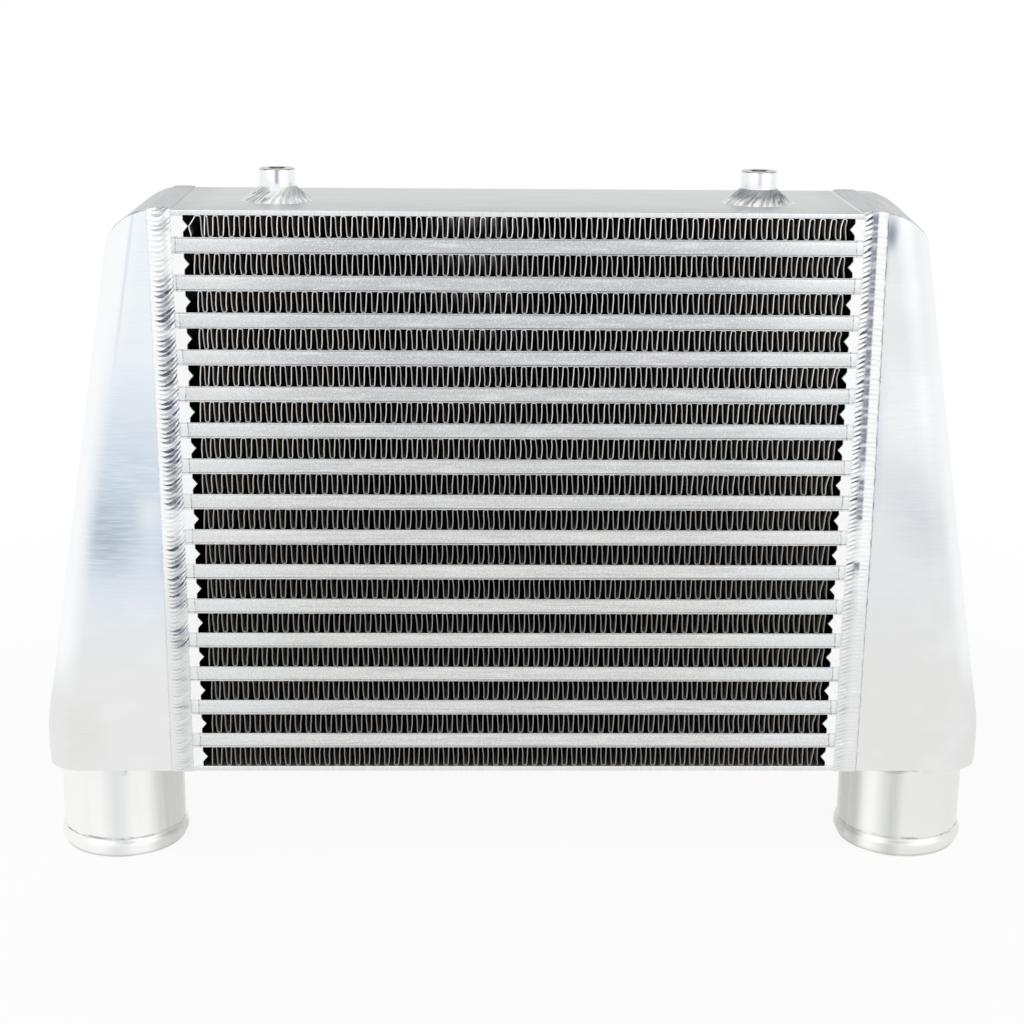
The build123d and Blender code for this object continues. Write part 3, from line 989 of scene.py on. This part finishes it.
# Painted reflections: upright light and dark strips down the front of each pipe, and the right pipe
# greyer all over.
spun.paint((219, 219, 215), on_right, 0.55)
for front, place, reach, shade in ((front_left, 1.5, 10.0, (227, 229, 228)),
                                   (front_left, 14.0, 6.0, (248, 248, 246)),
                                   (front_right, 9.5, 6.5, (205, 207, 203)),
                                   (front_right, 20.0, 6.0, (252, 252, 250))):
    spun.paint(shade, front, spun.near(across_pipe, place, reach))
spun.paint((205, 206, 202), front_left, spun.band(across_pipe, 15.0, 25.0))
spun.paint((200, 201, 197), front_right, spun.band(across_pipe, 22.5, 27.0))
spun.paint((236, 237, 236), spun.band(pull, 0.45, 0.75, 0.0, 0.3))
# Dark patches: smudges by the rolled bead, and painted shadow under the tank's floor at the top of
# the pipe.
blotch = spun.grain((9, 9, 2.2), detail=4.0, seed=11.0)
smudge_and_shadow = spun.maths("MAXIMUM", spun.near(spun.z, roll_end, 1.5), spun.near(spun.z, 51.0, 6.0))
spun.paint((146, 148, 150), spun.band(blotch, 0.46, 0.64), smudge_and_shadow)
# Painted shade in the crease just above the rolled bead.
spun.paint((170, 172, 172), spun.near(spun.z, 10.4, 0.35), 0.5)
spun.paint((196, 196, 190), spun.near(spun.z, 1.2, 1.0), 0.7)
# Painted shade inside the bore.
offset_squared = spun.both(across_pipe, across_pipe)
radius_squared = spun.maths("ADD", offset_squared, spun.both(spun.y, spun.y))
in_bore = spun.band(radius_squared, (port_bore_radius + 0.5) ** 2, (port_bore_radius + 0.1) ** 2)
spun.paint((120, 120, 118), in_bore, 0.75)
spun.gloss(blotch, 0.34, 0.46)
for hand, side in (("left", -1), ("right", 1)):
    pipe_top = span(f"{hand}_port")[1][2]
    pipe = turned(port_profile(pipe_top), side * port_offset, 0.0, pipe_segments)
    build_piece(f"{hand}_hose_pipe", [pipe], spun, [f"{hand}_port"], 40.0)


# ---- Port welds -------------------------------------------------------------
# A small fillet of weld runs round the pipe where it enters the tank's floor. The
# ripples follow each other round the pipe like coins laid over.

port_weld_leg = 2.4
port_weld_ripples = 76
port_weld_lift = 0.2
port_weld_sections = 720
weld_face_columns = 13


def ring_weld(x, y, inner, outer, foot, head, ripples, lift, swirl, seed, segments):
    """A rippled fillet round an upright pipe or boss, as a closed ring.

    Its face runs from the pipe at the head level to the foot level further out, on a
    hollow curve, with scallops round the ring that are swept by the swirl.
    """
    angle = np.arange(segments) * 2 * math.pi / segments
    way = np.linspace(0, 1, weld_face_columns)
    turned_by = angle / (2 * math.pi) + 0.012 * drift(angle, 1.1, seed)
    phase = ripples * (turned_by[:, None] + swirl(way))
    bulge = np.sin(math.pi * way) ** 0.7
    rise = lift * (ripple(phase) - 0.6) * bulge
    radius = inner + (outer - inner) * way * (1 - 0.09 * (1 - ripple(phase)))
    hollow = 1 - way - 0.1 * np.sin(math.pi * way)
    level = foot + (head - foot) * hollow
    slant = math.hypot(outer - inner, head - foot)
    radius = np.hstack([radius + rise * abs(head - foot) / slant, np.full((segments, 1), inner)])
    level = level + rise * (outer - inner) / slant * np.sign(head - foot)
    points = np.zeros((segments, len(way) + 1, 3))
    points[:, :, 0] = x + np.cos(angle)[:, None] * radius
    points[:, :, 1] = y + np.sin(angle)[:, None] * radius
    points[:, :, 2] = np.hstack([level, np.full((segments, 1), foot)])
    # Painted shade in the ripple valleys, patchy round the ring.
    valley = np.exp(-((1 - np.abs(2 * (phase - np.floor(phase)) - 1)) / 0.4) ** 2)
    patchy = np.clip(0.75 + 0.6 * drift(angle, 2.4, seed + 1), 0.35, 1)[:, None]
    dark = np.hstack([valley * bulge * patchy, np.zeros((segments, 1))])
    return points, dark


def port_swirl(way):
    """The port's ripples bend back a little at their toe."""
    return 0.01 * way ** 2


rings_of_weld = []
dark_rings = []
for side, seed in ((-1, 400), (1, 410)):
    ring, dark = ring_weld(side * port_offset, 0.0, port_radius, port_radius + port_weld_leg,
                           core_floor, core_floor - port_weld_leg, port_weld_ripples,
                           port_weld_lift, port_swirl, seed, port_weld_sections)
    ring[:, :, 0] = side * np.minimum(side * ring[:, :, 0], half_span)
    rings_of_weld.append((ring, "rc"))
    # The port welds take the painted valley shade at six tenths of full strength.
    dark_rings.append(dark.ravel() * 0.6)
build_piece("port_fillet_welds", rings_of_weld, bead_metal, ["port_welds"], 60.0,
            {"valley": np.concatenate(dark_rings)})


# ---- Mounting bungs ---------------------------------------------------------
# Two turned bosses stand on the top plate. Each has a chamfered rim and a blind hole
# with a coarse thread, cut as a real helix.

bung_radius = 8.75
bung_hole_radius = 3.4
thread_pitch = 1.25
thread_depth = 0.62
thread_turns = 8
points_per_turn = 8
mouth_chamfer = 0.7
bung_height = 15.4
bung_hole_depth = 12.0
bung_offset = 117.3
bung_forward = 5.0
bung_segments = 96


def bung_skin(x, y, foot):
    """Outside, rim and threaded hole of a bung, as one band carried round its axis.

    The hole's radius is the bore plus a triangle wave of the level less the share of a
    turn, which winds one groove round the wall. It fades out at both ends.
    """
    angle = np.arange(bung_segments) * 2 * math.pi / bung_segments
    outside = np.array([[0.0, 0.0], [bung_radius, 0.0], [bung_radius, 5.0],
                        [bung_radius, bung_height - 0.6], [bung_radius - 0.15, bung_height - 0.25],
                        [bung_radius - 0.55, bung_height], [bung_hole_radius + 1.0, bung_height]])
    depths = np.linspace(0, thread_pitch * thread_turns, thread_turns * points_per_turn + 1)
    wave = depths[None, :] / thread_pitch - angle[:, None] / (2 * math.pi)
    groove = np.abs(2 * (wave - np.floor(wave)) - 1) * thread_depth
    fade = np.clip((depths[-1] - depths) / thread_pitch, 0, 1)
    mouth = np.clip(1 - depths / mouth_chamfer, 0, 1)
    radius = bung_hole_radius + np.maximum(groove * fade, mouth)
    shell = np.zeros((bung_segments, len(outside) + len(depths) + 2, 3))
    radii = np.hstack([np.tile(outside[:, 0], (bung_segments, 1)), radius,
                       np.tile([bung_hole_radius, 0.0], (bung_segments, 1))])
    hole_floor = bung_height - bung_hole_depth
    levels = np.concatenate([outside[:, 1], bung_height - depths, [hole_floor, hole_floor]])
    shell[:, :, 0] = x + np.cos(angle)[:, None] * radii
    shell[:, :, 1] = y + np.sin(angle)[:, None] * radii
    shell[:, :, 2] = foot + levels
    return shell, "r"


bright = Finish("turned_bung", (242, 244, 246), 0.22)
turning = bright.grain((20, 20, 0.22), detail=4.0)
bright.paint((214, 218, 222), bright.band(turning, 0.45, 0.75, 0.0, 0.25))
from_axis = bright.maths("SUBTRACT", bright.off(bright.x), bung_offset)
# Painted reflection: an upright dark bluish strip down the front of each bung above its weld,
# strongest on the left bung.
on_front = bright.band(bright.y, -bung_forward - 6.0, -bung_forward - 7.0)
glance = bright.near(from_axis, -0.6, 1.5)
on_left = bright.band(bright.x, 1.0, -1.0, 0.35, 1.0)
above_weld = bright.band(bright.z, core_top + 8.0, core_top + 9.5, 0.1, 1.0)
glance = bright.both(glance, bright.both(on_left, above_weld))
bright.paint((162, 174, 192), glance, on_front)
past_axis = bright.maths("ADD", bright.y, bung_forward)
from_axis_squared = bright.maths("ADD", bright.both(from_axis, from_axis),
                                 bright.both(past_axis, past_axis))
rim_level = core_top + bung_height - 0.35
bright.paint((186, 186, 180), bright.band(bright.z, rim_level - 0.3, rim_level))
# Painted shade in the threaded hole.
in_hole = bright.band(from_axis_squared, 22.0, 17.0)
bright.paint((84, 82, 78), in_hole, 0.85)
bright.gloss(turning, 0.14, 0.3)
bungs = [bung_skin(side * bung_offset, -bung_forward, core_top) for side in (-1, 1)]
build_piece("threaded_bungs", bungs, bright, ["mounting_bungs"], 30.0)


# ---- Bung welds -------------------------------------------------------------
# A wide hollow fillet holds each bung to the plate. The ripples fan out from the boss
# like petals and end in a scalloped toe.

bung_weld_radius = 17.5
bung_weld_height = 7.0
bung_weld_ripples = 26
bung_weld_lift = 0.8
bung_weld_sections = 600
rings_of_weld = []
dark_rings = []


def bung_swirl(way):
    """The bung's ripples are swept one way at both ends."""
    return 0.1 * way - 0.1 * (way - 0.45) ** 2


cast = Finish("fillet_weld", (254, 254, 254), 0.3, 0.6)
lumps = cast.grain((5, 5, 3), seed=23.0)
cast.paint((214, 217, 219), cast.band(lumps, 0.45, 0.65, 0.0, 0.6))
upper_face = cast.band(cast.z, core_top + 1.2, core_top + 4.0)
cast.paint((176, 180, 184), cast.band(cast.x, -1.0, 1.0), upper_face)
cast.paint((184, 187, 190), cast.near(cast.x, 11.0 - bung_offset, 9.0), upper_face, 0.8)
# Painted shade in the ripple valleys.
cast.paint((72, 77, 88), cast.mark("valley"))
for side, seed in ((-1, 545), (1, 510)):
    ring, dark = ring_weld(side * bung_offset, -bung_forward, bung_radius, bung_weld_radius,
                           core_top, core_top + bung_weld_height, bung_weld_ripples,
                           bung_weld_lift, bung_swirl, seed, bung_weld_sections)
    rings_of_weld.append((ring, "rc"))
    # The painted valley shade is strongest on the left bung's left side.
    toward_left = (side * bung_offset - ring[:, -2, 0]) / bung_weld_radius
    from_left = np.arccos(np.clip(toward_left, -1, 1))
    reach = np.clip(1 - 2.5 * (from_left - 1.15), 0.15, 1) if side < 0 else np.full(len(ring), 0.8)
    dark_rings.append((dark * reach[:, None]).ravel())
build_piece("bung_fillet_welds", rings_of_weld, cast, ["bung_welds"], 60.0,
            {"valley": np.concatenate(dark_rings)})


# ---- Floor, light and camera ------------------------------------------------
# A white sweep under an even white sky, with two broad lamps. The camera stands in
# front, a little left of the middle, and looks down by about 16 degrees.

floor_reach = 4.0
paper_white = (0.9, 0.9, 0.9, 1.0)
full_white = (1.0, 1.0, 1.0, 1.0)

corners = [(x * floor_reach, y * floor_reach, 0.0) for x, y in ((-1, -1), (1, -1), (1, 1), (-1, 1))]
floor_mesh = bpy.data.meshes.new("studio_floor")
floor_mesh.from_pydata(corners, [], [(0, 1, 2, 3)])
floor_object = bpy.data.objects.new("studio_floor", floor_mesh)
bpy.context.scene.collection.objects.link(floor_object)
paper = bpy.data.materials.new("white_paper")
paper.use_nodes = True
floor_mesh.materials.append(paper)

# Seen straight on, the paper glows, a little less round the part, where it keeps the
# shadow. Bright metal mirrors it at full strength.
tree = paper.node_tree
tree.nodes.clear()
matt = wire(tree, "BsdfDiffuse", {"Color": paper_white})
glow = wire(tree, "Emission", {"Color": full_white})
rays = wire(tree, "LightPath").outputs
place = wire(tree, "TexCoord").outputs["Object"]
far = wire(tree, "VectorMath", {0: place}, operation="LENGTH").outputs["Value"]
seen = sum_of(tree, "MULTIPLY", rays["Is Camera Ray"], soft_step(tree, far, 0.25, 0.8, 0.88, 1.0))
shown = sum_of(tree, "MAXIMUM", seen, rays["Is Glossy Ray"])
blend = wire(tree, "MixShader", {0: shown, 1: matt.outputs[0], 2: glow.outputs[0]})
wire(tree, "OutputMaterial", {"Surface": blend.outputs[0]})

# The sky is white to the eye and lights the part a little less. Bright metal finds a dark
# ring in it, at about 46 degrees above the level.
dark_ring = 0.72
lit_by_sky = 0.75
world = bpy.data.worlds.new("white_studio")
bpy.context.scene.world = world
world.use_nodes = True
tree = world.node_tree
sky = tree.nodes["Background"]
sky.inputs["Color"].default_value = full_white
rays = wire(tree, "LightPath").outputs
ways = wire(tree, "SeparateXYZ", {0: wire(tree, "TexCoord").outputs["Generated"]}).outputs
off_ring = sum_of(tree, "ABSOLUTE", sum_of(tree, "SUBTRACT", ways["Z"], dark_ring))
mirrored = soft_step(tree, off_ring, 0.1, 0.22, 0.3, 1.0)
glossy = wire(tree, "Mix", {"Factor": rays["Is Glossy Ray"], "A": lit_by_sky, "B": mirrored})
level = sum_of(tree, "MAXIMUM", rays["Is Camera Ray"], glossy.outputs[0])
tree.links.new(level, sky.inputs["Strength"])


lamp_size = 1.5
lamp_target = np.array([0.0, 0.0, 0.2])


def soft_lamp(name, place, power):
    """A square soft lamp that faces the middle of the part."""
    data = bpy.data.lights.new(name, "AREA")
    data.size = lamp_size
    data.energy = power
    lamp = bpy.data.objects.new(name, data)
    bpy.context.scene.collection.objects.link(lamp)
    way = np.array(place) - lamp_target
    way = way / np.linalg.norm(way)
    side = np.cross([0.0, 0.0, 1.0], way)
    side = side / np.linalg.norm(side)
    up = np.cross(way, side)
    rows = [[side[i], up[i], way[i], place[i]] for i in range(3)] + [[0.0, 0.0, 0.0, 1.0]]
    lamp.matrix_world = [list(column) for column in zip(*rows)]


soft_lamp("key_lamp", (-1.1, -1.3, 1.4), 9.0)
soft_lamp("fill_lamp", (1.2, -1.2, 1.0), 6.0)

focal_pixels = 1969.7606
frame_pixels = 1024
camera_place = np.array([-21.9617, -971.2983, 460.2687])
yaw = 0.0208156
pitch = 0.2816824
roll = 0.0084690
forward = np.array([math.sin(yaw) * math.cos(pitch), math.cos(yaw) * math.cos(pitch),
                    -math.sin(pitch)])
right = np.array([math.cos(yaw), -math.sin(yaw), 0.0])
up = np.cross(right, forward)
rolled_right = right * math.cos(roll) + up * math.sin(roll)
rolled_up = up * math.cos(roll) - right * math.sin(roll)
lens = bpy.data.cameras.new("front_camera")
lens.sensor_width = 36.0
lens.lens = focal_pixels / frame_pixels * lens.sensor_width
lens.clip_start = 0.05
lens.clip_end = 20.0
camera = bpy.data.objects.new("front_camera", lens)
bpy.context.scene.collection.objects.link(camera)
columns = [rolled_right, rolled_up, -forward, camera_place * MM]
camera.matrix_world = [[*column, float(number == 3)] for number, column in enumerate(columns)]
bpy.context.scene.camera = camera
bpy.context.scene.view_settings.view_transform = "Standard"
